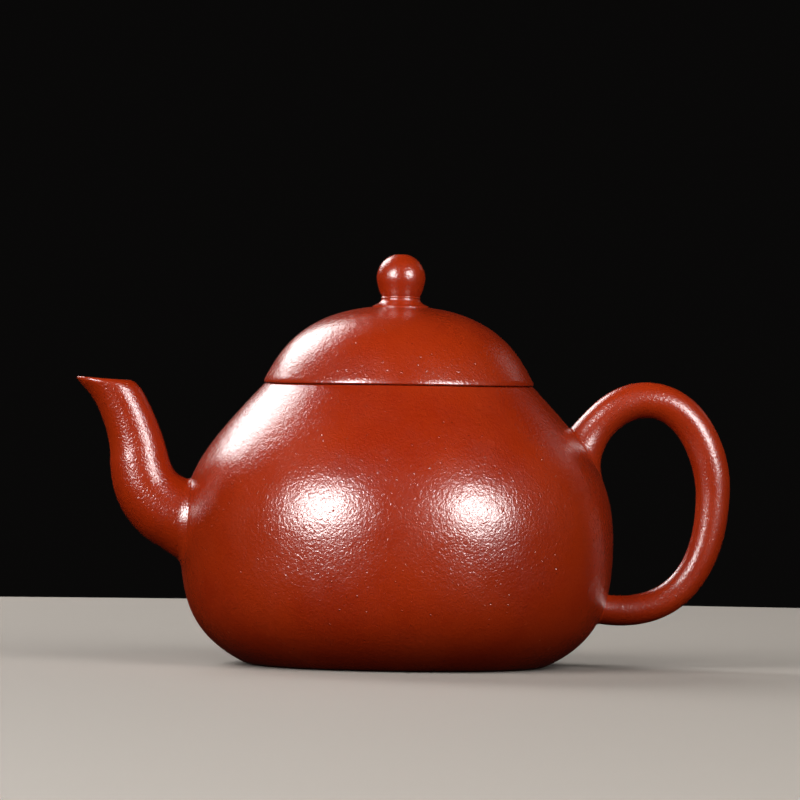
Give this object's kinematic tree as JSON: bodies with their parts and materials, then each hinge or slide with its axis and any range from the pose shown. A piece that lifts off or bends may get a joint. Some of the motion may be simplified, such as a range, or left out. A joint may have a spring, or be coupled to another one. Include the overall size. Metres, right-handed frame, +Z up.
{
  "type": "clay teapot",
  "caption": "Small pear-shaped unglazed red clay teapot with a lift-off domed lid, ball knob, curved spout and ear-shaped handle.",
  "frame": {"origin": "middle of the base, on the table", "axes": "+Z up along the pot's axis; the spout points to -X and the handle to +X, both in the XZ plane"},
  "size_m": [0.114, 0.075, 0.0712],
  "materials": {
    "red_clay": "satin",
    "inner_clay": "matte",
    "joint_clay": "satin"
  },
  "bodies": {
    "pot": {"body_wall": "red_clay", "base_disc": "red_clay", "shoulder_disc": "red_clay", "mouth_ring": "red_clay", "strainer_dome": "inner_clay", "spout": "red_clay", "spout_luting": "joint_clay", "handle": "red_clay", "handle_top_luting": "joint_clay", "handle_bottom_luting": "joint_clay"},
    "lid": {"lid_dome": "red_clay", "lid_seat_ring": "red_clay", "lid_flange": "inner_clay", "knob_collar": "red_clay", "knob_ball": "red_clay"}
  },
  "joints": [
    {"name": "lid_lift", "type": "slide", "parent": "pot", "child": "lid", "axis": [0, 0, 1], "range_m": [0, 0.06]}
  ]
}
